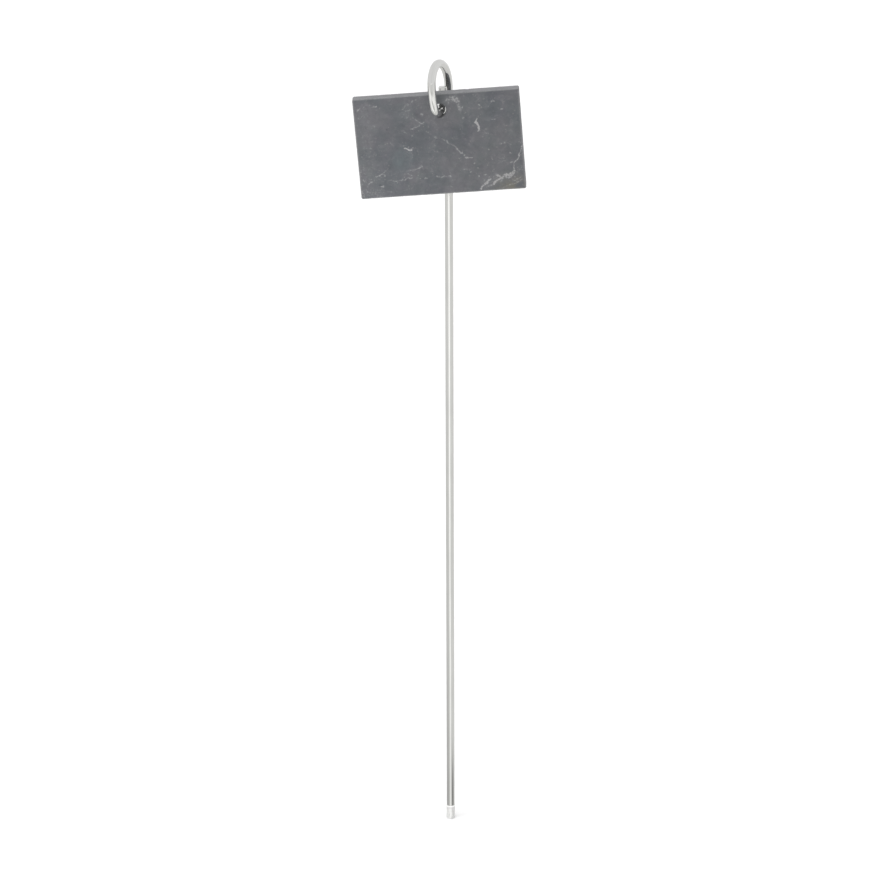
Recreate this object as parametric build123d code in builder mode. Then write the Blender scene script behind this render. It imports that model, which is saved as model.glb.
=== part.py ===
from build123d import *
import os

# Plant label stake: a polished steel wire whose top is bent into an eye, a slate plate that
# hangs in the eye by a drilled hole, and a thin clear guard pushed over the wire's lower end.
# Millimetres. +Z runs up the stem, the plate's face looks towards -Y, and the origin is the
# middle of the wire's lower end.

# Wire
wire_diameter = 4.0
stem_height = 380.0
free_end_length = 6.6
cut_bevel = 0.25

# Eye, bend by bend from the stem over the top, down the slightly leaning front limb, round the
# hook that the plate hangs in, along a short straight run and up to the free end
rear_top_radius = 15.0
front_top_radius = 8.2
front_limb_radius = 38.0
hook_radius = 4.6
hook_run = 3.5
rear_low_radius = 4.6
eye_turn_deg = 18.8
limb_lean_deg = 17.9
lean_turn_deg = 33.5
return_turn_deg = 16.6

# Slate plate
plate_width = 80.0
plate_height = 50.8
plate_thickness = 4.8
plate_corner_radius = 0.9
plate_edge_bevel = 0.35
hole_play = 1.45
hole_below_top = 8.6
hole_side_offset = 1.2
hole_rim_bevel = 0.3
plate_side_shift = 0.8
plate_set_back = 3.38
plate_lift = 0.96
plate_lean_deg = 7.4
plate_roll_deg = 4.3

# Clear guard on the lower end
guard_clearance = 0.04
guard_wall = 0.15
guard_floor = 0.4
guard_end_gap = 0.1
guard_cover = 6.9
guard_corner_radius = 0.35

# Values that follow from the sizes above
wire_radius = wire_diameter / 2
hole_radius = wire_radius + hole_play
guard_bore_radius = wire_radius + guard_clearance
guard_outer_radius = guard_bore_radius + guard_wall
guard_floor_top = -guard_end_gap
guard_bottom = guard_floor_top - guard_floor
guard_height = guard_cover - guard_bottom
guard_bore_depth = guard_cover - guard_floor_top
up = Vector(0, 0, 1)
forward = Vector(0, -1, 0).rotate(Axis.Z, -eye_turn_deg)
lean_way = Vector(0, 1, 0).rotate(Axis.Z, -lean_turn_deg)
leaning = (-up).rotate(Axis((0, 0, 0), lean_way.cross(up)), limb_lean_deg)
back = Vector(0, 1, 0).rotate(Axis.Z, -return_turn_deg)

# Headings of the wire between its bends, with the radius of each bend and the straight run after it
headings = (up, forward, -up, leaning, back, up)
bend_radii = (
    rear_top_radius,
    front_top_radius,
    front_limb_radius,
    hook_radius,
    rear_low_radius,
)
straight_runs = (0, 0, 0, hook_run, free_end_length)

# Bends as start, heading, middle, axis and angle, and the places where they end
bends = []
bend_ends = []
place = up * stem_height
for heading, next_heading, bend_radius, run in zip(headings, headings[1:], bend_radii, straight_runs):
    bend_axis = heading.cross(next_heading).normalized()
    inward = bend_axis.cross(heading)
    bend_middle = place + inward * bend_radius
    bend_deg = heading.get_angle(next_heading)
    bends.append((place, heading, bend_middle, bend_axis, bend_deg))
    place = bend_middle - inward.rotate(Axis((0, 0, 0), bend_axis), bend_deg) * bend_radius
    bend_ends.append(place)
    place = place + next_heading * run
free_end = place
hook_bottom = bend_ends[3]

# Stem and eye, one bent wire with both cut ends bevelled
with BuildPart() as stake:
    with BuildSketch(Plane.XY):
        Circle(wire_radius)
    extrude(amount=stem_height)
    for bend_start, heading, bend_middle, bend_axis, bend_deg in bends:
        with BuildSketch(Plane(origin=bend_start, z_dir=heading)):
            Circle(wire_radius)
        revolve(axis=Axis(bend_middle, bend_axis), revolution_arc=bend_deg)
    for bend_end, next_heading, run in zip(bend_ends, headings[1:], straight_runs):
        if run:
            with BuildSketch(Plane(origin=bend_end, z_dir=next_heading)):
                Circle(wire_radius)
            extrude(amount=run)
    lower_rim = stake.edges().group_by(Axis.Z)[0]
    free_rim = stake.edges().filter_by(GeomType.CIRCLE).sort_by_distance(free_end)[0]
    chamfer([*lower_rim, free_rim], length=cut_bevel)

# Slate plate on the plane of its own face, with the hole's middle behind the hook's bottom, a little
# above it and to its right
hole_centre = hook_bottom + Vector(plate_side_shift, plate_set_back, plate_lift)
plate_front = Vector(0, -1, 0).rotate(Axis.X, plate_lean_deg)
plate_right = Vector(1, 0, 0).rotate(Axis((0, 0, 0), plate_front), plate_roll_deg)
plate_plane = Plane(origin=hole_centre, x_dir=plate_right, z_dir=plate_front)
with BuildPart() as slate_tag:
    with BuildSketch(plate_plane):
        with Locations((-hole_side_offset, hole_below_top - plate_height / 2)):
            RectangleRounded(plate_width, plate_height, plate_corner_radius)
    extrude(amount=plate_thickness / 2, both=True)
    plate_outline = slate_tag.faces().sort_by(Axis((0, 0, 0), plate_front))
    chamfer([*plate_outline[0].edges(), *plate_outline[-1].edges()], length=plate_edge_bevel)
    with BuildSketch(plate_plane):
        Circle(hole_radius)
    extrude(amount=plate_thickness, both=True, mode=Mode.SUBTRACT)
    hole_rims = slate_tag.edges().filter_by(GeomType.CIRCLE).sort_by(SortBy.RADIUS)[-2:]
    chamfer(hole_rims, length=hole_rim_bevel)

# Clear guard, a thin cup over the lower end with its floor just under the cut
with BuildPart() as tip_guard:
    with BuildSketch(Plane.XY.offset(guard_bottom)):
        Circle(guard_outer_radius)
    extrude(amount=guard_height)
    fillet(tip_guard.edges().group_by(Axis.Z)[0], radius=guard_corner_radius)
    with BuildSketch(Plane.XY.offset(guard_floor_top)):
        Circle(guard_bore_radius)
    extrude(amount=guard_bore_depth, mode=Mode.SUBTRACT)

# Written files, one per piece
os.makedirs("parts", exist_ok=True)
stake.part.label = "stake"
slate_tag.part.label = "slate_tag"
tip_guard.part.label = "tip_guard"
export_step(stake.part, "parts/stake.step")
export_step(slate_tag.part, "parts/slate_tag.step")
export_step(tip_guard.part, "parts/tip_guard.step")
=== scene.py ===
"""Looks of a plant label stake: polished bent wire, slate plate hung in its eye, clear tip guard.

Metres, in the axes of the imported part: +Z up the stem, the plate's face looks towards -Y.
Lengths in the tables below are millimetres and are turned into metres by MM.
"""

import math

import bpy
import numpy as np
from mathutils import Matrix, Vector


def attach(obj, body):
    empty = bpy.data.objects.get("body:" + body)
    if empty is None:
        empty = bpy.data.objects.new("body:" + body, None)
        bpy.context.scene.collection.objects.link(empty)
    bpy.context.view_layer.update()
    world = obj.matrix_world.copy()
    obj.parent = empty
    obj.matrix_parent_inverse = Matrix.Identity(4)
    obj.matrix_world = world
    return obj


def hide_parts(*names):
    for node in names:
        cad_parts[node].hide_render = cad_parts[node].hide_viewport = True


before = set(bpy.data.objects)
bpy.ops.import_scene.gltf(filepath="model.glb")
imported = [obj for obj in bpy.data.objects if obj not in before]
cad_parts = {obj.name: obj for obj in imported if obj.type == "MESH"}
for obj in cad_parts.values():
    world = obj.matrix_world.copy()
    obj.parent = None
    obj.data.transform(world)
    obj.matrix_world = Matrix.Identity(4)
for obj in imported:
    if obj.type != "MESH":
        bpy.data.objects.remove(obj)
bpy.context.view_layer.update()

MM = 0.001

# Where neighbouring faces turn more than this, their border is drawn sharp
crease = math.radians(38)

# Points round a ring of the wire and of the guard
ring_sides = 72

# Wire, as in the part
wire_radius = 2.0
stem_height = 380.0
cut_bevel = 0.25
bend_radii = (15.0, 8.2, 38.0, 4.6, 4.6)
straight_runs = (0.0, 0.0, 0.0, 3.5, 6.6)
eye_turn = math.radians(18.8)
limb_lean = math.radians(17.9)
lean_turn = math.radians(33.5)
return_turn = math.radians(16.6)

# Slate plate, as in the part
plate_width = 80.0
plate_height = 50.8
plate_thickness = 4.8
plate_corner_radius = 0.9
hole_radius = 3.45
hole_below_top = 8.6
hole_side_offset = 1.2
hook_to_hole = np.array([0.8, 3.38, 0.96])
plate_lean = math.radians(7.4)
plate_roll = math.radians(4.3)

# Guard, as in the part
guard_bore_radius = 2.04
guard_outer_radius = 2.19
guard_floor_top = -0.1
guard_bottom = -0.5
guard_cover = 6.9


def turned(vector, axis, angle):
    """Vector turned about a unit axis: the part along it, plus the rest by cosine and sine."""
    along = axis * (vector @ axis)
    return along + (vector - along) * math.cos(angle) + np.cross(axis, vector) * math.sin(angle)


X, Y, Z = np.eye(3)
forward = turned(-Y, Z, -eye_turn)
lean_way = turned(Y, Z, -lean_turn)
leaning = lean_way * math.sin(limb_lean) - Z * math.cos(limb_lean)
back = turned(Y, Z, -return_turn)
headings = (Z, forward, -Z, leaning, back, Z)

# Bends of the wire as start, heading, way inward, axis and angle, and the places where they end
bends = []
bend_ends = []
place = Z * stem_height
for heading, next_heading, radius, run in zip(headings, headings[1:], bend_radii, straight_runs):
    axis = np.cross(heading, next_heading)
    axis = axis / np.linalg.norm(axis)
    inward = np.cross(axis, heading)
    angle = math.acos(heading @ next_heading)
    bends.append((place, heading, inward, axis, angle))
    place = place + (inward - turned(inward, axis, angle)) * radius
    bend_ends.append(place)
    place = place + next_heading * run

plate_front = turned(-Y, X, plate_lean)
plate_right = turned(X, plate_front, plate_roll)
plate_up = np.cross(plate_front, plate_right)
hook_bottom = bend_ends[3]
hole_centre = hook_bottom + hook_to_hole
plate_middle = hole_centre - plate_right * hole_side_offset
plate_middle = plate_middle + plate_up * (hole_below_top - plate_height / 2)


# Meshes


def put_mesh(name, points, faces, body, finishes, picks=None, uv=None, fields=()):
    """A new smooth piece from points in millimetres and a list of arrays of corner numbers.

    The arrays laid end to end are the faces' corners, and a face starts where the sizes of those
    before it add up to.
    """
    mesh = bpy.data.meshes.new(name)
    mesh.vertices.add(len(points))
    mesh.vertices.foreach_set("co", (points * MM).astype(np.float32).ravel())
    corners = np.concatenate([f.ravel() for f in faces])
    sizes = np.concatenate([np.full(len(f), f.shape[1]) for f in faces])
    mesh.loops.add(len(corners))
    mesh.loops.foreach_set("vertex_index", corners.astype(np.int32))
    mesh.polygons.add(len(sizes))
    starts = np.concatenate([[0], np.cumsum(sizes)[:-1]])
    mesh.polygons.foreach_set("loop_start", starts.astype(np.int32))
    if picks is not None:
        mesh.polygons.foreach_set("material_index", picks.astype(np.int32))
    if uv is not None:
        layer = mesh.uv_layers.new(name="along_wire")
        layer.data.foreach_set("uv", uv.astype(np.float32).ravel())
    for key, values in fields:
        field = mesh.attributes.new(key, "FLOAT", "POINT")
        field.data.foreach_set("value", values.astype(np.float32))
    mesh.update(calc_edges=True)
    mesh.validate()
    mesh.polygons.foreach_set("use_smooth", np.ones(len(sizes), bool))
    mesh.set_sharp_from_angle(angle=crease)
    for finish in finishes:
        mesh.materials.append(finish.material)
    piece = bpy.data.objects.new(name, mesh)
    bpy.context.scene.collection.objects.link(piece)
    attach(piece, body)
    return piece


def grid_faces(numbers, around=False):
    """Quads between neighbouring entries of a table of point numbers, closed across if around."""
    if around:
        numbers = np.concatenate([numbers, numbers[:, :1]], axis=1)
    low, high = numbers[:-1], numbers[1:]
    return np.stack([low[:, :-1], low[:, 1:], high[:, 1:], high[:, :-1]], -1).reshape(-1, 4)


def turned_shell(centres, radii, across, beside, lengths):
    """Rings round a path, with a single point for a ring of no radius at either end.

    A point is the ring's centre plus radius times (cos a across + sin a beside), for a round the
    ring. Returns points, faces and, for each face corner, (a share of a turn, length along).
    """
    share = np.arange(ring_sides) / ring_sides
    step = 1 / ring_sides
    angle = (np.arange(ring_sides) * math.tau / ring_sides)[None, :, None]
    spokes = across[:, None] * np.cos(angle) + beside[:, None] * np.sin(angle)
    inner = (centres[:, None] + spokes * radii[:, None, None])[1:-1]
    points = np.concatenate([centres[:1], inner.reshape(-1, 3), centres[-1:]])
    numbers = np.arange(inner.shape[0] * ring_sides).reshape(-1, ring_sides) + 1
    first, last = numbers[0], numbers[-1]
    start_point = np.zeros(ring_sides, int)
    end_point = np.full(ring_sides, len(points) - 1)
    faces = [
        grid_faces(numbers, around=True),
        np.stack([start_point, np.roll(first, -1), first], -1),
        np.stack([end_point, last, np.roll(last, -1)], -1),
    ]
    along = lengths[1:-1]
    low = np.repeat(along[:-1], ring_sides)
    high = np.repeat(along[1:], ring_sides)
    left = np.tile(share, len(along) - 1)
    right = left + step
    start, start_ring, end_ring, end = (
        np.full(ring_sides, length) for length in (lengths[0], along[0], along[-1], lengths[-1])
    )
    uv = [
        np.stack([left, low, right, low, right, high, left, high], -1),
        np.stack([share, start, share + step, start_ring, share, start_ring], -1),
        np.stack([share, end, share, end_ring, share + step, end_ring], -1),
    ]
    return points, faces, np.concatenate([corners.reshape(-1, 2) for corners in uv])


def lattice_noise(x, y, seed):
    """Smooth random values from -1 to 1: seeded values at whole numbers, blended by a quintic."""
    size = 256
    table = np.random.default_rng(seed).uniform(-1, 1, (size, size))
    column = np.floor(x).astype(int)
    row = np.floor(y).astype(int)
    fx, fy = (f**3 * (f * (f * 6 - 15) + 10) for f in (x - column, y - row))

    def side(right):
        low = table[row % size, (column + right) % size]
        high = table[(row + 1) % size, (column + right) % size]
        return low * (1 - fy) + high * fy

    return side(0) * (1 - fx) + side(1) * fx


def rough_noise(x, y, seed, octaves):
    """Sum of lattice noises, each twice as fine and half as strong as the one before."""
    total = 0
    for octave in range(octaves):
        total = total + lattice_noise(x * 2**octave, y * 2**octave, seed + octave) / 2**octave
    return total


# Finishes


class Signal:
    """A node's output that arithmetic in Python turns into Math nodes."""

    def __init__(self, finish, socket):
        self.finish = finish
        self.socket = socket

    def maths(self, operation, first, second=0.0):
        return self.finish.node("Math", {"operation": operation}, {0: first, 1: second})

    def __add__(self, other):
        return self.maths("ADD", self, other)

    def __radd__(self, other):
        return self.maths("ADD", other, self)

    def __sub__(self, other):
        return self.maths("SUBTRACT", self, other)

    def __rsub__(self, other):
        return self.maths("SUBTRACT", other, self)

    def __mul__(self, other):
        return self.maths("MULTIPLY", self, other)

    def __rmul__(self, other):
        return self.maths("MULTIPLY", other, self)

    def low(self, other):
        """The lower of the two."""
        return self.maths("MINIMUM", self, other)

    def high(self, other):
        """The higher of the two."""
        return self.maths("MAXIMUM", self, other)

    def size(self):
        return self.maths("ABSOLUTE", self)

    def whole(self):
        """The next whole number up."""
        return self.maths("CEIL", self)

    def cosine(self):
        return self.maths("COSINE", self)

    def sine(self):
        return self.maths("SINE", self)

    def rise(self, low, high, to_low=0.0, to_high=1.0):
        """Smooth step: to_low below low, to_high above high."""
        return self.finish.node(
            "MapRange",
            {"interpolation_type": "SMOOTHSTEP"},
            {"Value": self, "From Min": low, "From Max": high, "To Min": to_low,
             "To Max": to_high},
        )


class Finish:
    """A material or a world, with one way to add a node to it."""

    def __init__(self, name, world=None):
        self.material = world or bpy.data.materials.new(name)
        self.material.use_nodes = True
        self.tree = self.material.node_tree
        self.tree.nodes.clear()

    def node(self, kind, settings, sockets, out=0):
        """A new node: its settings first, then values or links of its sockets."""
        made = self.tree.nodes.new("ShaderNode" + kind)
        for key, value in settings.items():
            setattr(made, key, value)
        for key, value in sockets.items():
            if isinstance(value, Signal):
                self.tree.links.new(value.socket, made.inputs[key])
            elif made.inputs[key].type == "RGBA":
                made.inputs[key].default_value = (*value, 1)
            else:
                made.inputs[key].default_value = value
        return Signal(self, made.outputs[out])

    def mix(self, share, first, second, blend="MIX"):
        """Colour between first and second by share."""
        return self.node(
            "Mix", {"data_type": "RGBA", "blend_type": blend}, {0: share, 6: first, 7: second}, 2
        )

    def grey(self, level):
        return self.node("CombineColor", {}, {0: level, 1: level, 2: level})

    def noise(self, place, scale, detail=3.0, roughness=0.5, distortion=0.0):
        return self.node(
            "TexNoise",
            {},
            {"Vector": place, "Scale": scale, "Detail": detail, "Roughness": roughness,
             "Distortion": distortion},
        )

    def spots(self, place, scale, inside, outside):
        """1 within inside of scattered points, falling to 0 at outside, in cell sizes."""
        cells = self.node("TexVoronoi", {}, {"Vector": place, "Scale": scale, "Randomness": 1.0})
        return cells.rise(inside, outside, 1.0, 0.0)

    def stretch(self, place, scale):
        """The place times a scale for each axis."""
        return self.node("VectorMath", {"operation": "MULTIPLY"}, {0: place, 1: scale})

    def part(self, place, axis):
        """One of the three numbers of a place."""
        return self.node("SeparateXYZ", {}, {0: place}, axis)

    def painted(self, key):
        """A number that the mesh keeps at each point."""
        return self.node("Attribute", {"attribute_name": key}, {}, 2)

    def bump(self, height, strength, depth):
        return self.node("Bump", {}, {"Height": height, "Strength": strength, "Distance": depth})

    def surface(self, shader, output="OutputMaterial"):
        end = self.tree.nodes.new("ShaderNode" + output)
        self.tree.links.new(shader.socket, end.inputs["Surface"])

    def principled(self, sockets):
        self.surface(self.node("BsdfPrincipled", {}, sockets))


def plate_place(finish):
    """Object coordinates as millimetres across, up and out of the plate, from its middle."""
    place = finish.node("TexCoord", {}, {}, 3)
    axes = Matrix([plate_right, plate_up, plate_front])
    shift = -(axes @ Vector(plate_middle))
    return finish.node(
        "Mapping",
        {"vector_type": "POINT"},
        {"Vector": place, "Location": tuple(shift), "Rotation": tuple(axes.to_euler("XYZ")),
         "Scale": (1 / MM, 1 / MM, 1 / MM)},
    )


# Marks on the plate's face: (strength, half width, fill, points across and up from its middle).
# A strength under zero is darker than the slate, and a fill under 1 leaves loose flecks.
face_marks = (
    (0.42, 0.34, 0.85, (-37.9, 19.4), (-36.4, 20.9)),
    (0.36, 0.34, 0.80, (-34.7, 20.8), (-34.1, 21.0)),
    (0.55, 0.34, 0.95, (-30.5, 20.6), (-28.3, 20.8)),
    (0.30, 0.36, 0.62, (-16.9, 18.4), (-13.4, 20.9), (-9.9, 23.4)),
    (0.30, 0.42, 0.62, (-15.4, 17.9), (-12.4, 18.4)),
    (0.40, 0.32, 0.80, (-10.9, 13.2), (-8.4, 11.7), (-6.4, 11.4)),
    (0.36, 0.32, 0.72, (-12.9, 8.4), (-9.4, 10.0), (-6.4, 11.4)),
    (0.28, 0.75, 0.62, (-7.8, 16.3), (-7.2, 15.5)),
    (0.22, 0.90, 0.50, (-17.4, 14.9), (-11.9, 13.9)),
    (0.80, 0.42, 0.95, (-16.9, -1.0), (-15.4, -1.5), (-13.9, -2.1)),
    (0.50, 0.28, 0.75, (-16.1, -1.0), (-15.1, 0.1)),
    (0.50, 0.28, 0.75, (-14.9, -1.9), (-12.9, -1.1)),
    (0.46, 0.34, 0.85, (-31.9, -14.6), (-28.9, -13.4), (-27.4, -14.1)),
    (0.32, 0.30, 0.62, (-28.9, -13.6), (-25.9, -10.6)),
    (0.38, 0.36, 0.72, (-24.9, -16.6), (-21.9, -17.2), (-17.9, -16.7), (-14.9, -15.9)),
    (0.30, 0.34, 0.62, (-22.4, -18.0), (-17.9, -15.4)),
    (0.36, 0.38, 0.70, (-16.9, -12.6), (-11.9, -11.6), (-9.4, -10.6)),
    (0.30, 0.40, 0.66, (-16.4, -13.8), (-14.9, -14.8)),
    (0.30, 0.36, 0.62, (-10.5, -9.2), (-8.9, -12.2)),
    (0.42, 0.40, 0.80, (-38.1, -16.0), (-37.5, -16.5)),
    (0.42, 0.36, 0.80, (-36.3, -18.3), (-33.9, -16.9)),
    (0.44, 0.42, 0.88, (-29.5, -19.9), (-28.8, -19.8)),
    (0.28, 3.20, 0.46, (-37.4, -22.6), (-30.9, -23.1)),
    (0.20, 2.60, 0.40, (-37.9, -20.6), (-37.9, -8.6)),
    (0.18, 4.00, 0.38, (-33.9, -14.6), (-23.9, -15.6)),
    (0.15, 5.00, 0.38, (-35.9, 19.4), (-33.9, 5.4), (-35.9, -8.6)),
    (0.16, 3.00, 0.40, (-15.9, 19.4), (-5.9, 21.4)),
    (0.28, 0.50, 0.72, (-8.5, -16.8), (-8.0, -17.0)),
    (0.34, 0.36, 0.68, (-2.9, -16.4), (1.1, -16.4), (3.6, -16.6)),
    (0.40, 0.44, 0.90, (3.2, -16.6), (3.9, -16.6)),
    (0.50, 1.50, 0.60, (5.5, 21.8), (9.7, 22.0)),
    (0.46, 0.85, 0.80, (9.1, 21.3), (10.5, 20.6)),
    (0.36, 0.80, 0.66, (10.1, 19.4), (11.1, 16.7)),
    (0.34, 0.50, 0.78, (12.1, 18.2), (12.2, 17.6)),
    (0.42, 0.42, 0.88, (20.3, 18.7), (20.9, 18.7)),
    (0.30, 0.40, 0.72, (22.6, 21.4), (23.1, 21.4)),
    (0.30, 0.36, 0.64, (24.6, 17.9), (26.1, 19.4), (28.1, 19.8)),
    (0.34, 0.42, 0.80, (31.1, 15.7), (31.7, 15.6)),
    (0.28, 0.40, 0.70, (11.6, 12.4), (12.6, 12.4)),
    (0.28, 0.40, 0.70, (14.9, 10.6), (15.2, 10.3)),
    (0.46, 0.42, 0.90, (26.3, 10.9), (27.1, 10.9)),
    (0.30, 0.30, 0.60, (27.1, 10.9), (28.9, 11.7)),
    (0.60, 0.42, 0.95, (19.0, 12.0), (18.5, 10.8), (18.0, 9.8)),
    (0.62, 0.62, 1.00, (18.2, 9.8), (19.0, 8.0), (19.3, 6.2)),
    (0.40, 0.40, 0.85, (18.6, 5.4), (19.9, 5.5)),
    (0.26, 0.42, 0.55, (-5.9, 7.4), (-1.9, 3.9), (2.1, 1.9)),
    (0.28, 0.70, 0.66, (-2.1, 4.1), (-1.4, 3.6)),
    (0.38, 0.34, 0.74, (2.1, 1.9), (4.6, 0.6), (7.6, -2.1), (10.1, -5.1), (12.6, -7.4)),
    (0.40, 0.40, 0.85, (9.5, -4.6), (10.5, -5.1)),
    (0.42, 0.34, 0.85, (12.1, -7.2), (13.5, -8.2), (15.1, -7.6)),
    (0.28, 0.36, 0.70, (15.6, -10.6), (16.0, -10.8)),
    (0.32, 0.32, 0.80, (17.5, -13.1), (17.8, -13.4)),
    (0.30, 0.40, 0.78, (23.1, -4.1), (23.5, -4.1)),
    (0.36, 0.30, 0.85, (24.5, -7.6), (24.5, -9.6)),
    (0.28, 0.36, 0.62, (27.1, -11.8), (31.1, -10.1)),
    (0.32, 0.40, 0.78, (33.3, -6.6), (33.9, -6.8)),
    (0.28, 0.34, 0.60, (28.6, -1.8), (31.1, -1.2), (34.6, -2.4)),
    (0.44, 0.28, 0.85, (39.5, -3.6), (37.9, -7.8), (36.5, -10.6), (34.9, -12.0), (34.4, -15.0)),
    (0.44, 0.36, 0.85, (34.4, -15.0), (33.5, -17.2), (31.6, -18.6)),
    (0.32, 0.40, 0.74, (33.1, -11.4), (34.6, -11.2)),
    (0.58, 0.62, 0.88, (18.1, -24.2), (18.7, -22.6), (20.1, -21.6)),
    (0.54, 0.70, 0.80, (19.6, -21.9), (21.6, -20.6), (23.1, -19.2)),
    (0.36, 0.44, 0.68, (19.1, -21.8), (23.1, -22.6), (24.6, -21.6)),
    (0.56, 0.66, 0.80, (24.6, -21.6), (26.1, -20.2), (28.1, -19.2), (31.1, -17.8), (33.1, -17.2)),
    (0.52, 0.95, 0.72, (26.7, -17.8), (28.4, -19.8)),
    (0.48, 0.58, 0.78, (31.1, -18.9), (34.1, -18.1), (34.7, -15.6)),
    (0.34, 0.34, 0.66, (28.1, -24.6), (33.1, -22.6), (38.7, -20.6)),
    (0.32, 0.34, 0.62, (33.1, -21.1), (38.3, -19.3)),
    (0.26, 2.60, 0.46, (20.1, -20.6), (34.1, -18.6)),
    (0.36, 0.46, 0.86, (17.1, -17.6), (17.6, -17.9)),
    (0.36, 0.52, 0.86, (20.5, -16.9), (21.1, -16.8)),
    (0.30, 0.42, 0.78, (13.6, -15.1), (14.0, -15.1)),
    (0.24, 0.60, 0.58, (10.6, -13.1), (13.1, -13.6)),
    (0.13, 3.20, 0.40, (-1.9, 21.4), (-3.9, -12.6)),
    (-0.45, 0.42, 0.90, (-25.1, 8.9), (-24.7, 8.7)),
    (-0.35, 0.42, 0.85, (-16.5, 12.2), (-16.2, 12.0)),
    (-0.35, 0.50, 0.85, (-35.1, 11.2), (-34.6, 11.0)),
    (-0.25, 0.45, 0.80, (-1.5, 2.6), (-1.1, 2.4)),
    (-0.30, 0.40, 0.80, (6.9, 10.6), (7.1, 10.4)),
    (0.34, 0.50, 0.80, (-39.4, -22.0), (-39.2, -22.6)),
    (0.36, 0.50, 0.85, (-38.9, -23.9), (-38.6, -24.3)),
    (0.26, 0.60, 0.75, (-37.2, -21.6), (-36.9, -22.4)),
    (0.22, 0.60, 0.65, (-32.4, -23.0), (-32.2, -24.4)),
    (0.18, 0.60, 0.60, (-27.5, -22.8), (-24.6, -22.5)),
    (0.30, 2.00, 0.40, (-16.8, 15.6), (-13.0, 20.6)),
    (-0.35, 0.50, 0.85, (-30.5, -19.1), (-29.8, -19.1)),
    (-0.35, 0.50, 0.85, (-36.6, -24.8), (-36.2, -24.9)),
)


# How far the marks wander from their straight runs, and over what distance
mark_wander = 0.42
mark_wave = 1.9


def mark_field(u, v):
    """How full of flecks the marks make a place on the face, and the strength of the fullest mark.

    A mark of half width h and fill f gives f (1.5 - d / h), held between 0 and f, at a distance d
    from (start + t run), t being the share of the run between 0 and 1. The places are bent by
    noise first, so that no mark is ruler straight.
    """
    bent_u = u + mark_wander * rough_noise(u / mark_wave, v / mark_wave, 81, 3)
    bent_v = v + mark_wander * rough_noise(u / mark_wave + 9, v / mark_wave, 91, 3)
    fullness = np.zeros(u.shape)
    power = np.zeros(u.shape)
    for strength, half_width, fill, *points in face_marks:
        for start, end in zip(points, points[1:]):
            run = np.subtract(end, start)
            along = ((bent_u - start[0]) * run[0] + (bent_v - start[1]) * run[1]) / (run @ run)
            along = np.clip(along, 0, 1)
            distance = np.hypot(
                bent_u - start[0] - along * run[0], bent_v - start[1] - along * run[1]
            )
            full = fill * np.clip(1.5 - distance / half_width, 0, 1)
            power = np.where(full > fullness, strength, power)
            fullness = np.maximum(fullness, full)
    return fullness, power


# Colours of the slate, and of what lies on it or is worn into it
riven_low = (0.1115, 0.1160, 0.1290)
riven_high = (0.1265, 0.1295, 0.1380)
sawn_low = (0.205, 0.206, 0.216)
sawn_high = (0.235, 0.236, 0.244)
drilled_grey = (0.29, 0.29, 0.30)
green_tint = (0.972, 1.006, 0.985)
rose_tint = (1.012, 0.994, 1.002)
teal_grey = (0.128, 0.158, 0.166)
olive_grey = (0.150, 0.143, 0.112)
bloom_grey = (0.262, 0.255, 0.272)
vein_grey = (0.32, 0.32, 0.335)
vein_white = (0.55, 0.54, 0.53)
spot_black = (0.045, 0.047, 0.052)
wisp_white = (0.50, 0.50, 0.49)
fleck_cream = (0.52, 0.50, 0.45)
pit_black = (0.060, 0.062, 0.068)
worn_grey = (0.33, 0.33, 0.335)

# Middles of the two tinted areas on the face, across and up from the plate's middle
teal_middle = (-18.4, -6.1, 0.0)
olive_middle = (33.1, -25.6, 0.0)


class Slate:
    """The finish of one kind of the plate's surfaces, with the noises that its layers share.

    Scales are per millimetre, and depth counts three times, so that the layers of the stone show.
    """

    def __init__(self, name):
        finish = Finish(name)
        self.finish = finish
        self.place = plate_place(finish)
        self.deep = finish.stretch(self.place, (1.0, 1.0, 3.0))
        self.cloud = finish.noise(self.deep, 0.055, 3.0, 0.55)
        self.patch = finish.noise(self.deep, 0.22, 4.0, 0.6, 0.4)
        self.mottle = finish.noise(self.deep, 0.75, 3.0, 0.6)
        self.grain = finish.noise(self.deep, 2.4, 3.0, 0.65)
        self.dust = finish.noise(self.deep, 7.0, 2.0, 0.6)
        self.tone = (
            0.49 + self.cloud * 0.20 + self.patch * 0.34 + self.mottle * 0.27
            + self.grain * 0.18 + self.dust * 0.05
        )

    def riven(self):
        """Base colour and height of a split face."""
        base = self.finish.mix(self.cloud.rise(0.35, 0.65), riven_low, riven_high)
        height = self.grain * 0.6 + self.patch * 1.2 + self.dust * 0.2
        return self.toned(base), height

    def toned(self, base):
        return self.finish.mix(1.0, base, self.finish.grey(self.tone), "MULTIPLY")

    def end(self, colour, height):
        """Slate of this colour, with a roughness and a bump that follow its grain."""
        self.finish.principled({
            "Base Color": colour, "Roughness": 0.58 + self.grain * 0.16,
            "Normal": self.finish.bump(height, 0.5, 0.00012), "Specular IOR Level": 0.38,
        })
        return self.finish


def sawn_finish():
    """The sawn edge: paler, with fine lines along the cut."""
    slate = Slate("sawn_slate")
    finish = slate.finish
    lines = finish.noise(finish.stretch(slate.place, (0.15, 0.15, 9.0)), 1.0, 3.0, 0.6)
    slate.tone = slate.tone + (lines - 0.5) * 0.16
    colour = slate.toned(finish.mix(slate.patch, sawn_low, sawn_high))
    return slate.end(colour, lines * 0.5 + slate.grain * 0.5)


def drilled_finish():
    """The drilled wall: the riven stone under pale stone dust."""
    slate = Slate("drilled_slate")
    colour, height = slate.riven()
    return slate.end(slate.finish.mix(0.75, colour, drilled_grey), height)


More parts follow.
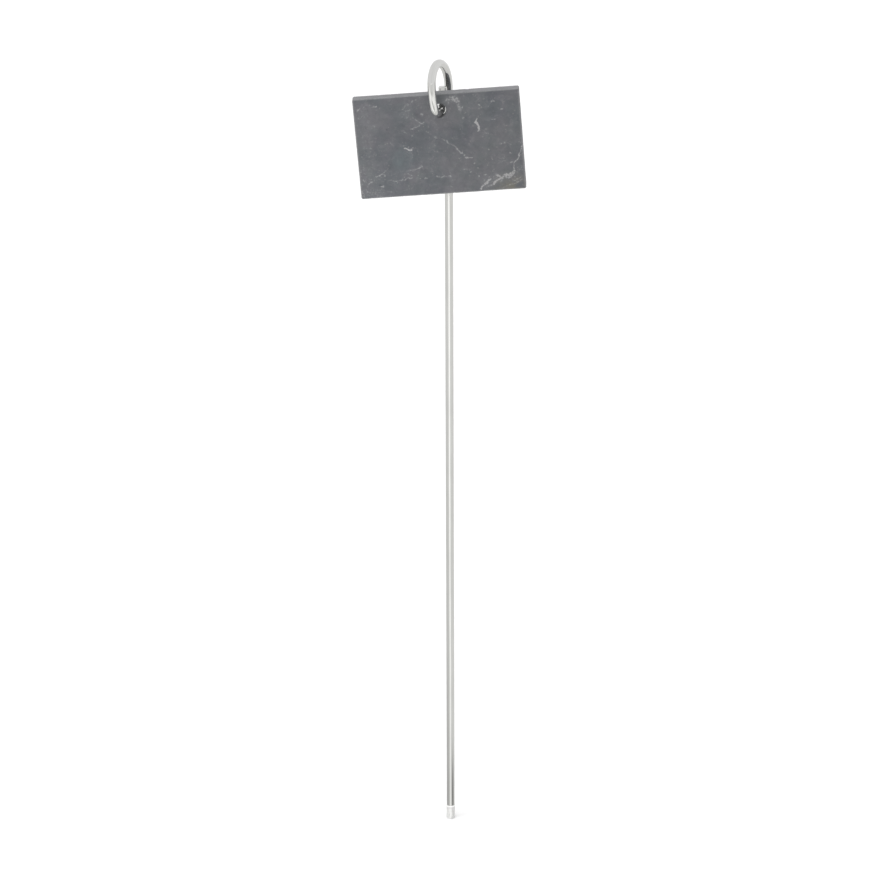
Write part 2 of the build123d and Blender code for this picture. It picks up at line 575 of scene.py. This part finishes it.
def riven_finish():
    """The split faces: cool grey and cloudy, with two tinted areas on the front, pale veins and
    flecks where the mesh has marks, small wisps, flecks and pits all over, and worn edges."""
    slate = Slate("riven_slate")
    finish, deep, patch = slate.finish, slate.deep, slate.patch
    colour, height = slate.riven()
    across, upward, outward = (finish.part(slate.place, axis) for axis in range(3))
    front = outward.rise(1.0, 2.0)
    flat = finish.stretch(slate.place, (1.0, 1.0, 0.0))

    # Painted shade: a little darker to the right, most of all low down, and a little paler low down
    painted_shade = 0.985 - across * 0.0026
    painted_shade = painted_shade + upward.rise(-24.0, 2.0) * (across * 0.0012 - 0.04) + 0.04
    colour = finish.mix(1.0, colour, finish.grey(painted_shade), "MULTIPLY")

    # Tints
    tint = finish.noise(deep, 0.11, 3.0, 0.6, 0.6)
    hue = finish.mix(tint.rise(0.36, 0.64), green_tint, rose_tint)
    colour = finish.mix(1.0, colour, hue, "MULTIPLY")
    teal, olive = (
        finish.node("VectorMath", {"operation": "DISTANCE"}, {0: flat, 1: middle}, 1)
        for middle in (teal_middle, olive_middle)
    )
    teal = teal.rise(2.0, 8.5, 0.55, 0.0) * front * patch.rise(0.3, 0.6, 0.4, 1.0)
    olive = olive.rise(2.0, 12.0, 0.7, 0.0) * front * patch.rise(0.3, 0.6)
    colour = finish.mix(teal, colour, teal_grey)
    colour = finish.mix(olive, colour, olive_grey)

    # Marks: flecks grow together where a mark is full
    fleck = finish.noise(flat, 0.92, 3.0, 0.60)
    fullness = finish.painted("mark_fullness")
    power = finish.painted("mark_power")
    shape = (fleck + fullness * 0.46).rise(0.70, 0.90)
    shape = shape * finish.noise(flat, 2.6, 2.0, 0.6).rise(0.30, 0.62, 0.45, 1.15)
    halo = fullness * power.high(0.0)
    pale = shape * power.high(0.0)
    dark = shape * (0.0 - power).high(0.0)

    # Bloom, wisps, flecks and pits of the stone itself
    bloom = finish.noise(deep, 0.30, 4.0, 0.62, 0.8).rise(0.50, 0.72)
    ridge = (finish.noise(deep, 0.11, 5.0, 0.62, 1.1) - 0.5).size()
    wisps = ridge.rise(0.004, 0.022, 1.0, 0.0)
    wisps = wisps * finish.noise(deep, 0.16, 2.0, 0.5).rise(0.53, 0.66) * fleck.rise(0.42, 0.62)
    flecks = finish.spots(deep, 0.62, 0.08, 0.26)
    flecks = flecks * finish.noise(deep, 0.31, 2.0).rise(0.50, 0.68)
    pits = finish.spots(deep, 0.35, 0.06, 0.18)
    pits = pits * finish.noise(deep, 0.23, 1.0).rise(0.45, 0.62)

    # Edges that handling has rubbed pale
    inset = (plate_width / 2 - across.size()).low(plate_height / 2 - upward.size())
    worn = inset.rise(0.15, 0.95, 1.0, 0.0) * fleck.rise(0.30, 0.60, 0.55, 1.0)

    for share, layer in (
        (bloom * 0.17 * front, bloom_grey),
        (halo * 0.46, vein_grey),
        (pale * 0.80, vein_white),
        (dark, spot_black),
        (wisps * 0.22, wisp_white),
        (flecks * 0.22, fleck_cream),
        (pits * 0.20, pit_black),
        (worn * 0.55, worn_grey),
    ):
        colour = finish.mix(share, colour, layer)
    return slate.end(colour, height + pale * 0.35 + wisps * 0.2 - pits * 0.3)


steel_low = (0.80, 0.80, 0.785)
steel_high = (0.90, 0.90, 0.885)
plastic_low = (0.94, 0.94, 0.93)
plastic_high = (0.98, 0.98, 0.975)
# Painted light: the guard's faint glow all over, and a brighter glow at its rim as a painted
# highlight
painted_wall_glow = (0.02, 0.02, 0.02)
painted_rim_highlight = (0.10, 0.10, 0.10)


def steel_finish():
    """Polished drawn wire: bright, with faint lines along it and a slight cloudiness.

    The patterns lie on a cylinder: (cosine, sine) of the share of a turn, and the length along.
    """
    finish = Finish("polished_drawn_steel")
    map_place = finish.node("UVMap", {"uv_map": "along_wire"}, {})
    angle = finish.part(map_place, 0) * math.tau
    length = finish.part(map_place, 1)
    around = finish.node("CombineXYZ", {}, {0: angle.cosine(), 1: angle.sine(), 2: length})
    lines = finish.noise(finish.stretch(around, (9.0, 9.0, 0.02)), 1.0, 3.0, 0.6)
    cloud = finish.noise(finish.stretch(around, (0.8, 0.8, 0.06)), 1.0, 3.0, 0.55)
    specks = finish.noise(finish.stretch(around, (14.0, 14.0, 1.2)), 1.0, 2.0, 0.6)
    colour = finish.mix((lines * 0.5 + cloud * 0.5).rise(0.3, 0.7), steel_low, steel_high)
    finish.principled({
        "Base Color": colour, "Metallic": 1.0,
        "Roughness": 0.07 + cloud * 0.08 + lines * 0.05 + specks.rise(0.62, 0.75) * 0.08,
        "Normal": finish.bump(lines + specks * 0.3, 0.35, 0.000012),
    })
    return finish


def guard_finish():
    """Thin milky plastic that lets the wire's end show through, fuller at its rim and sole, with a
    painted glow all over that is brightest at the rim as a painted highlight.
    """
    finish = Finish("milky_clear_plastic")
    place = finish.node("TexCoord", {}, {}, 3)
    milk = finish.noise(place, 900.0, 3.0, 0.6)
    height = finish.part(place, 2)
    rim = height.rise(0.0062, 0.0064)
    sole = height.rise(-0.0001, 0.0004, 1.0, 0.0)
    finish.principled({
        "Base Color": finish.mix(milk, plastic_low, plastic_high),
        "Roughness": 0.22 + milk * 0.12,
        "Alpha": 0.31 + milk * 0.12 + rim * 0.30 + sole * 0.25,
        # Painted light: the wall glows faintly and the rim more, as a painted highlight
        "Emission Color": finish.mix(rim, painted_wall_glow, painted_rim_highlight),
        "Emission Strength": 1.0,
        "Normal": finish.bump(milk, 0.2, 0.00003),
    })
    return finish


# Stake


stem_rings = 100
bend_step = 0.4

# A cut end of the wire, ring by ring from its rim inwards: distances from the plane of the cut, and
# radii, here with the rim's own. The last four rings lie in the cut and close to its middle.
bevel_heights = np.array([0.14, 0.06, 0.0, 0.0, 0.0, 0.0])
cut_radii = np.concatenate([
    wire_radius - cut_bevel * np.array([0.0, 0.12, 0.45, 1.0]), [1.3, 0.6, 0.0]
])


def stake_piece(finish):
    """One wire: a circle carried up the stem, round the bends and out to the free end.

    On a bend the centre is start + R (inward (1 - cos a) + heading sin a), and the two ring
    directions are turned with it about the bend's axis. Both cut ends are rings that close in.
    """
    across, beside = X, Y
    stem = np.concatenate([
        bevel_heights[::-1], [cut_bevel, 0.5, 1.0], np.linspace(3.0, stem_height, stem_rings),
    ])
    centres = [stem[:, None] * Z]
    lengths = [stem]
    sides_across = [np.tile(across, (len(stem), 1))]
    sides_beside = [np.tile(beside, (len(stem), 1))]
    length = stem_height
    for bend, end, radius, next_heading, run in zip(
        bends, bend_ends, bend_radii, headings[1:], straight_runs
    ):
        start, heading, inward, axis, angle = bend
        angles = np.linspace(0, angle, max(20, int(angle * radius / bend_step)))[1:]
        swing = angles[:, None]
        centres.append(
            start + (inward * (1 - np.cos(swing)) + heading * np.sin(swing)) * radius
        )
        lengths.append(length + angles * radius)
        for kept, side in ((sides_across, across), (sides_beside, beside)):
            along = axis * (side @ axis)
            kept.append(
                along + (side - along) * np.cos(swing) + np.cross(axis, side) * np.sin(swing)
            )
        across, beside = sides_across[-1][-1], sides_beside[-1][-1]
        length = lengths[-1][-1]
        if not run:
            continue
        steps = np.linspace(0, run, 10)[1:]
        if next_heading is headings[-1]:
            steps = np.linspace(0, run - cut_bevel, 14)[1:]
            steps = np.concatenate([steps, run - bevel_heights])
        centres.append(end + steps[:, None] * next_heading)
        lengths.append(length + steps)
        sides_across.append(np.tile(across, (len(steps), 1)))
        sides_beside.append(np.tile(beside, (len(steps), 1)))
        length = length + run
    radii = np.full(sum(len(part) for part in centres), wire_radius)
    radii[:len(cut_radii)] = cut_radii[::-1]
    radii[-len(cut_radii):] = cut_radii
    points, faces, uv = turned_shell(
        np.concatenate(centres), radii, np.concatenate(sides_across),
        np.concatenate(sides_beside), np.concatenate(lengths),
    )
    piece = put_mesh("bent_wire", points, faces, "wire", [finish], uv=uv)
    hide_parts("stake")


# Guard


# Rounding of the foot, and the bead at the rim: half height, how far it stands out, how far its
# middle is set into the wall
guard_rounding = 0.5
bead_size = 0.28
bead_depth = 0.07
bead_sunk = 0.02


def guard_piece(finish):
    """A thin cup turned about the stem: a profile of (radius, height) carried round the axis.

    From the middle of the sole it goes out round the foot's quarter circle, up the wall, over a
    half ellipse for the bead at the rim, and down the bore to the floor's middle.
    """
    bend = np.linspace(0, math.pi / 2, 9)
    foot_radius = guard_outer_radius - guard_rounding + guard_rounding * np.sin(bend)
    foot_height = guard_bottom + guard_rounding * (1 - np.cos(bend))
    bead = np.linspace(-math.pi / 2, math.pi / 2, 9)
    bead_radius = guard_outer_radius - bead_sunk + bead_depth * np.cos(bead)
    bead_height = guard_cover - bead_size + bead_size * np.sin(bead)
    wall_top = guard_cover - 2 * bead_size - 0.1
    profile = np.concatenate([
        [(0.0, guard_bottom), (0.9, guard_bottom)],
        np.stack([foot_radius, foot_height], -1),
        [(guard_outer_radius, height) for height in np.linspace(0.6, wall_top, 8)],
        np.stack([bead_radius, bead_height], -1),
        [(guard_bore_radius, height) for height in (guard_cover, 3.0, 0.2)],
        [(guard_bore_radius - 0.1, guard_floor_top), (1.0, guard_floor_top)],
        [(0.0, guard_floor_top)],
    ])
    count = len(profile)
    points, faces, _ = turned_shell(
        profile[:, 1:] * Z, profile[:, 0], np.tile(X, (count, 1)), np.tile(Y, (count, 1)),
        np.arange(count, dtype=float),
    )
    piece = put_mesh("tip_cup", points, faces, "guard", [finish])
    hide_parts("tip_guard")


# Slate plate


# Spacing of the plate's grid: apart from the edges, how much closer at an edge, and over what reach
grid_step = 0.40
edge_gain = 0.28
edge_reach = 1.4

# The square of grid round the hole: half its side, its cells along a side and its rings of points
block_half = 6.5
block_cells = 28
ring_steps = 15
wall_steps = 13


def graded(start, end, fine_start, fine_end):
    """Grid lines from start to end, close together at a fine end.

    The spacing at distance d from a fine end is grid_step - edge_gain exp(-d / edge_reach). Lines
    are put at equal steps of the integral of one over the spacing.
    """
    d = np.linspace(0, end - start, 4001)
    spacing = np.full_like(d, grid_step)
    if fine_start:
        spacing = spacing - edge_gain * np.exp(-d / edge_reach)
    if fine_end:
        spacing = spacing - edge_gain * np.exp(-(d[-1] - d) / edge_reach)
    count = np.concatenate([[0], np.cumsum((1 / spacing[1:] + 1 / spacing[:-1]) / 2 * d[1])])
    steps = int(round(count[-1]))
    return start + np.interp(np.linspace(0, count[-1], steps + 1), count, d)


def grid_lines(extent, hole):
    """Grid lines over an extent of the plate with the block round the hole, and where it starts."""
    before = graded(-extent / 2, hole - block_half, True, False)
    inside = np.linspace(hole - block_half, hole + block_half, block_cells + 1)
    after = graded(hole + block_half, extent / 2, False, True)
    return np.concatenate([before, inside[1:], after[1:]]), len(before) - 1


def outline_distance(u, v):
    """Distance in from the plate's rounded outline, and the way straight out of it."""
    inner = np.array([plate_width, plate_height]) / 2 - plate_corner_radius
    past = np.maximum(np.abs(np.stack([u, v], -1)) - inner, 0)
    reach = np.linalg.norm(past, axis=-1)
    inside = np.max(np.abs(np.stack([u, v], -1)) - inner, axis=-1)
    distance = plate_corner_radius - np.where(reach > 0, reach, np.minimum(inside, 0))
    way = past / np.maximum(reach, 1e-9)[..., None] * np.sign(np.stack([u, v], -1))
    return distance, way


def round_corners(u, v):
    """The square corner zones squeezed into quarter discs: x sqrt(1 - y y / 2) and the reverse."""
    inner_u = plate_width / 2 - plate_corner_radius
    inner_v = plate_height / 2 - plate_corner_radius
    x = np.clip((np.abs(u) - inner_u) / plate_corner_radius, 0, 1)
    y = np.clip((np.abs(v) - inner_v) / plate_corner_radius, 0, 1)
    new_x = x * np.sqrt(1 - y * y / 2)
    new_y = y * np.sqrt(1 - x * x / 2)
    moved_u = np.where(x > 0, np.sign(u) * (inner_u + new_x * plate_corner_radius), u)
    moved_v = np.where(y > 0, np.sign(v) * (inner_v + new_y * plate_corner_radius), v)
    return moved_u, moved_v


hole_u = hole_side_offset
hole_v = plate_height / 2 - hole_below_top

# Height and width of the broad swells, of one cleavage layer and of the grain, the share of a layer
# that keeps one height, and how far the whole face lies under the plate's half thickness
swell_height, swell_width = 0.10, 24
layer_height, layer_width = 0.07, 17
grain_height, grain_width = 0.012, 1.6
tread = 0.86
face_sunk = 0.04

# Rounding of the arris and looseness of its chips, at the outline and at the hole
outline_arris = (0.32, 0.55)
hole_arris = (0.30, 0.30)

# Depth of the saw's lines and of the hollow along the sawn edge, and how uneven the drilled wall is
saw_depth = 0.025
edge_hollow = 0.03
bore_wander = 0.05


def face_height(u, v, seed):
    """Height of a riven face over the plate's half thickness.

    Broad swells, plus thin cleavage layers that end in ragged little steps, less the rounded
    arris and its chips near the outline and the hole. A quarter circle of size b drops
    b - sqrt(b b - (b - d)(b - d)) at distance d from the edge.
    """
    swell = swell_height * rough_noise(u / swell_width, v / swell_width, seed, 3)
    layer = 2.2 * rough_noise(u / layer_width + 3, v / layer_width, seed + 10, 5)
    part = layer - np.floor(layer)
    steps = layer_height * (np.floor(layer) + np.clip((part - tread) / (1 - tread), 0, 1))
    grain = grain_height * rough_noise(u / grain_width, v / grain_width, seed + 20, 2)
    distance, _ = outline_distance(u, v)
    rim = np.hypot(u - hole_u, v - hole_v) - hole_radius
    drop = 0
    for edge, (size, loose) in ((distance, outline_arris), (rim, hole_arris)):
        edge = np.maximum(edge, 0)
        size = size * (1 + 0.25 * rough_noise(u / 3.1, v / 3.1, seed + 30, 2))
        near = np.clip(size - edge, 0, size)
        drop = np.maximum(drop, size - np.sqrt(np.maximum(size**2 - near**2, 0)))
        chips = rough_noise(u / 1.3, v / 1.3, seed + 40, 3) - 0.55 - edge * 1.3
        drop = drop + loose * np.clip(chips, 0, 0.9)
    fade = np.clip(distance / 1.5, 0, 1) * np.clip(rim / 1.2, 0, 1)
    return (swell + steps * fade + grain) - drop - face_sunk


def loop(table, top, bottom, left, right):
    """Entries of a table round a rectangle, anticlockwise from its lower left."""
    return np.concatenate([
        table[bottom, left:right], table[bottom:top, right],
        table[top, right:left:-1], table[top:bottom:-1, left],
    ])


def wall_between(front, back):
    """Rows of points from one loop straight to another, and the share of the way of each row."""
    down = np.linspace(0, 1, wall_steps)[:, None]
    return front * (1 - down[..., None]) + back * down[..., None], down


def held_ends(amount, down):
    """An amount that dies away at both borders of a wall."""
    return amount * np.clip(np.minimum(down, 1 - down) * 8, 0, 1)


def plate_piece(finishes):
    """A closed slate plate in blocks of grid: two faces, two rings round the hole, the sawn edge
    and the drilled wall. Blocks share the points of their borders, which are merged.

    A ring's point is the circle's plus (square's - circle's) s^1.7, for s from 0 at the hole to 1
    at the square block that the ring fills. A wall's point lies straight between the two faces,
    moved in or out by noise.
    """
    u_lines, first_u = grid_lines(plate_width, hole_u)
    v_lines, first_v = grid_lines(plate_height, hole_v)
    last_u, last_v = first_u + block_cells, first_v + block_cells
    u, v = round_corners(*np.meshgrid(u_lines, v_lines))
    rows, columns = u.shape

    square_u = loop(u, last_v, first_v, first_u, last_u)
    square_v = loop(v, last_v, first_v, first_u, last_u)
    bearing = np.arctan2(square_v - hole_v, square_u - hole_u)
    circle_u = hole_u + hole_radius * np.cos(bearing)
    circle_v = hole_v + hole_radius * np.sin(bearing)
    share = (np.linspace(0, 1, ring_steps) ** 1.7)[:, None]
    ring_u = circle_u + (square_u - circle_u) * share
    ring_v = circle_v + (square_v - circle_v) * share

    edge_u = loop(u, rows - 1, 0, 0, columns - 1)
    edge_v = loop(v, rows - 1, 0, 0, columns - 1)
    _, way = outline_distance(edge_u, edge_v)

    blocks = []
    faces = []
    picks = []
    count = 0

    def add(points, pick, around, flip, skip=None):
        nonlocal count
        numbers = np.arange(points.shape[0] * points.shape[1]).reshape(points.shape[:2]) + count
        count += numbers.size
        made = grid_faces(numbers, around)
        if skip is not None:
            made = made[~skip.ravel()]
        faces.append(made[:, ::-1] if flip else made)
        picks.append(np.full(len(made), pick))
        blocks.append(points.reshape(-1, 3))

    cells = np.zeros((rows - 1, columns - 1), bool)
    cells[first_v:last_v, first_u:last_u] = True
    tops = {}
    for side, seed in ((1, 5), (-1, 105)):
        for key, (a, b) in {"face": (u, v), "ring": (ring_u, ring_v)}.items():
            w = side * (plate_thickness / 2 + face_height(a, b, seed))
            tops[key, side] = np.stack([a, b, w], -1)
        add(tops["face", side], 0, False, side < 0, cells)
        add(tops["ring", side], 0, True, side > 0)

    wall, down = wall_between(
        *(loop(tops["face", side], rows - 1, 0, 0, columns - 1) for side in (1, -1))
    )
    saw = rough_noise(wall[..., 2] * 2.2, (wall[..., 0] + wall[..., 1]) / 9, 61, 3) * saw_depth
    saw = held_ends(saw, down) + edge_hollow * np.sin(down * math.pi)
    wall[..., :2] = wall[..., :2] - way[None] * saw[..., None]
    add(wall, 1, True, True)

    bore, down = wall_between(tops["ring", 1][0], tops["ring", -1][0])
    spread = rough_noise(bearing[None] * 3 + 7, bore[..., 2] * 0.9, 71, 3) * bore_wander
    spread = held_ends(spread, down)
    out = np.stack([np.cos(bearing), np.sin(bearing)], -1)
    bore[..., :2] = bore[..., :2] + out[None] * spread[..., None]
    add(bore, 2, True, False)

    local = np.concatenate(blocks)
    _, kept, merged = np.unique(np.round(local, 5), axis=0, return_index=True, return_inverse=True)
    used, corners = np.unique(merged.ravel()[np.concatenate(faces)], return_inverse=True)
    local = local[kept][used]
    points = plate_middle + local[:, :1] * plate_right + local[:, 1:2] * plate_up
    points = points + local[:, 2:] * plate_front
    fullness, power = mark_field(local[:, 0], local[:, 1])
    fullness = np.where(local[:, 2] > 0, fullness, 0.0)
    piece = put_mesh(
        "slate_plate", points, [corners.reshape(-1, 4)], "plate", finishes,
        picks=np.concatenate(picks),
        fields=(("mark_fullness", fullness), ("mark_power", power)),
    )
    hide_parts("slate_tag")


stake_piece(steel_finish())
plate_piece([riven_finish(), sawn_finish(), drilled_finish()])
guard_piece(guard_finish())


# Studio


white = (1.0, 1.0, 1.0)
floor_grey = (0.80, 0.80, 0.80)

# Rings of the floor in metres, and points on each
floor_radii = np.array([0.02, 0.2, 1.0, 4.0])
floor_sides = 96


def light_kinds(finish):
    """Three signals, each 1 for its rays: of the camera, of a mirror and through glass."""
    rays = ("Is Camera Ray", "Is Glossy Ray", "Is Transmission Ray")
    return [finish.node("LightPath", {}, {}, ray) for ray in rays]


def studio_world():
    """White where it shows, and dimmer in a mirror and where it only lights."""
    world = bpy.data.worlds.new("pale_studio")
    bpy.context.scene.world = world
    finish = Finish("pale_studio", world)
    camera, glossy, through = light_kinds(finish)
    shown = (camera + glossy * 0.74 + through).low(1.0)
    strength = shown + (1 - shown.whole()) * 0.62
    finish.surface(
        finish.node("Background", {}, {"Color": white, "Strength": strength}), "OutputWorld"
    )


def put_surface(name, points, faces, finish):
    """A new surface of the studio from points in metres and a list of corner numbers."""
    mesh = bpy.data.meshes.new(name)
    mesh.from_pydata(points.tolist(), [], faces)
    mesh.materials.append(finish.material)
    surface = bpy.data.objects.new(name, mesh)
    bpy.context.scene.collection.objects.link(surface)
    return surface


def studio_floor():
    """A round pale floor just under the guard: points at a radius and a bearing, and its middle.

    It glows a little where it shows.
    """
    finish = Finish("pale_floor")
    camera, glossy, through = light_kinds(finish)
    shown = camera + glossy + through
    matte = finish.node("BsdfDiffuse", {}, {"Color": floor_grey})
    glow = finish.node("Emission", {}, {"Color": white, "Strength": shown * 0.20})
    finish.surface(finish.node("AddShader", {}, {0: matte, 1: glow}))
    bearing = np.arange(floor_sides) * math.tau / floor_sides
    spokes = np.stack([np.cos(bearing), np.sin(bearing), np.zeros(floor_sides)], -1)
    middle = (guard_bottom - 0.02) * MM * Z
    points = floor_radii[:, None, None] * spokes + middle
    points = np.concatenate([points.reshape(-1, 3), [middle]])
    numbers = np.arange(len(points) - 1).reshape(-1, floor_sides)
    last = np.full(floor_sides, len(points) - 1)
    fan = np.stack([last, numbers[0], np.roll(numbers[0], -1)], -1)
    quads = grid_faces(numbers, around=True)[:, ::-1]
    floor = put_surface("floor", points, quads.tolist() + fan.tolist(), finish)


def mirror_only(name, points, levels, around=False):
    """A surface of the studio that only mirrors see: a grid of points in millimetres, closed
    across if around, with its own brightness at each point."""
    finish = Finish(name)
    level = finish.painted("level")
    colour = finish.node("CombineColor", {}, {0: level, 1: level, 2: level * 0.985})
    finish.surface(finish.node("Emission", {}, {"Color": colour, "Strength": 1.0}))
    finish.material.cycles.emission_sampling = "NONE"
    faces = grid_faces(np.arange(levels.size).reshape(levels.shape), around)
    card = put_surface(name, points.reshape(-1, 3) * MM, faces.tolist(), finish)
    field = card.data.attributes.new("level", "FLOAT", "POINT")
    field.data.foreach_set("value", levels.astype(np.float32).ravel())
    for kind in ("camera", "diffuse", "shadow", "transmission", "volume_scatter"):
        setattr(card, "visible_" + kind, False)


def falling(distance, reach, power=1):
    """1 at no distance, falling towards 0 past the reach: exp(-(distance / reach)^power)."""
    return np.exp(-((distance / reach) ** power))


# The mirrored floor: bearings in degrees to the right of the plate's face, levels of the grey sides
# and the white lane, what the left side loses near the foot and the lane gains far away, what the
# disc of the foot's reach adds to each, and what the dark patch takes
lane_bearing, patch_bearing = -2, 62
side_level, left_loss, side_glow = 0.67, 0.25, 0.10
lane_level, far_gain, lane_glow = 0.95, 0.34, 0.62
foot_reach = 16
patch_loss = 0.48


def mirror_floor():
    """What polished metal mirrors of the studio's floor: a white lane in front and grey sides.

    The level is side + (lane - side) exp(-(turn / width)^2), turn being the bearing from the
    lane's middle. The left side and the lane get darker towards the stake's foot by an exponential
    of the distance, a dark patch lies right of the foot, and close to the foot all is brighter.
    """
    bearing = np.linspace(-180, 180, 181)[None, :-1]
    reach = np.geomspace(3, 4000, 40)[:, None]
    right = 1 / (1 + np.exp(-(bearing - 2) / 8))
    foot = falling(reach, foot_reach, 6)
    side = side_level + 0.02 * right - left_loss * (1 - 0.85 * right) * falling(reach, 250)
    side = side + side_glow * foot
    lane = lane_level + far_gain * (1 - falling(reach, 750)) + lane_glow * foot
    width = 22 + 5 * falling(reach, 200)
    level = side + (lane - side) * falling(bearing - lane_bearing, width, 2)
    level = level - patch_loss * falling(bearing - patch_bearing, 34, 2) * falling(reach, 85, 4)
    swing = np.radians(bearing)
    spokes = np.stack([np.sin(swing), -np.cos(swing), 0 * swing], -1)
    points = reach[..., None] * spokes + (guard_bottom + 0.05) * Z
    mirror_only("mirror_floor", points, level, around=True)


# Line on the front card that the middle of the front limb mirrors: heights, and places across
limb_heights = (344, 357, 361, 366, 373, 381)
limb_places = (7, -7, -12, -11, -8, -4)

# Height of the front card's border, its level over that, what it gains below, and what the streak,
# the dark blotches that the wire mirrors like dents (a painted reflection) and the mark take
card_border = 370
card_level, low_gain = 0.71, 0.31
streak_loss, blotch_loss, mark_loss = 0.50, 0.45, 0.22


def mirror_cards():
    """Three cards that only the polished wire mirrors.

    The one in front is grey above its border and white below it, with a few dark blotches that the
    wire mirrors like dents, a painted reflection. A dark streak of exp(-(d / 9)^2) follows the line
    that the middle of the front limb mirrors, d being the distance across from that line, and a
    small dark mark lies on the line above the border. The card over the drilled hole is a dark
    sheet whose reflection paints shade on the wire inside it. The last stands in front of the free
    end.
    """
    x, z = np.meshgrid(np.linspace(-96, 84, 91), np.linspace(318, 384, 34))
    aside = x - np.interp(z, limb_heights, limb_places)
    low = 1 / (1 + np.exp((z - card_border) / 0.9))
    # Painted reflection: dark blotches that the wire mirrors like dents
    dent_like_blotches = np.maximum(rough_noise(x / 9, z / 7, 201, 3) - 0.30, 0)
    streak = falling(aside, 9, 2) * np.clip((366 - z) / 4, 0, 1)
    mark = falling(aside, 7, 2) * falling(z - 373.5, 1.8, 2)
    level = card_level + low * (low_gain - streak_loss * streak - blotch_loss * dent_like_blotches)
    level = level - mark_loss * mark
    mirror_only("front_card", np.stack([x, np.full_like(x, -47.0), z], -1), level)
    x, y = np.meshgrid(np.linspace(-11, 1, 3), np.linspace(-14, -4, 3))
    mirror_only("hole_shade", np.stack([x, y, np.full_like(x, 378.5)], -1), np.full(x.shape, 0.07))
    x, z = np.meshgrid(np.linspace(-5.2, -0.4, 3), np.linspace(380.6, 383.4, 3))
    mirror_only("end_card", np.stack([x, np.full_like(x, -10.9), z], -1), np.full(x.shape, 0.66))


def soft_lamp(name, way, spread, level):
    """A wide far lamp. Level is what it adds to a white card that faces it."""
    lamp = bpy.data.lights.new(name, "SUN")
    lamp.energy = level * math.pi
    lamp.angle = math.radians(spread)
    holder = bpy.data.objects.new(name, lamp)
    holder.rotation_mode = "QUATERNION"
    holder.rotation_quaternion = Vector(way).to_track_quat("-Z", "Y")
    holder.visible_glossy = False
    bpy.context.scene.collection.objects.link(holder)


studio_world()
studio_floor()
mirror_floor()
mirror_cards()
soft_lamp("key_lamp", (0.50, 0.85, -0.75), spread=70.0, level=0.56)
soft_lamp("top_lamp", (-0.1, 0.1, -1.0), spread=60.0, level=0.16)


# Camera, fitted to the photograph's outlines. Its focal length is a share of the sensor's width.

camera_place = Vector((0.045056, -1.569691, 0.685180))
camera_way = Vector((-0.03036, 0.95551, -0.29337)).normalized()
camera_roll = math.radians(-0.22)
lens_share = 3301 / 880


def photo_camera():
    """The scene's camera: level, then rolled about the way it looks."""
    level_right = camera_way.cross(Vector((0, 0, 1))).normalized()
    level_up = level_right.cross(camera_way)
    right = level_right * math.cos(camera_roll) + level_up * math.sin(camera_roll)
    up = level_up * math.cos(camera_roll) - level_right * math.sin(camera_roll)
    data = bpy.data.cameras.new("photo_camera")
    data.sensor_width = 36.0
    data.lens = data.sensor_width * lens_share
    data.clip_start = 0.05
    data.clip_end = 50.0
    camera = bpy.data.objects.new("photo_camera", data)
    turn = Matrix((right, up, -camera_way)).transposed()
    camera.matrix_world = Matrix.Translation(camera_place) @ turn.to_4x4()
    bpy.context.scene.collection.objects.link(camera)
    bpy.context.scene.camera = camera


photo_camera()
bpy.context.scene.view_settings.view_transform = "Standard"
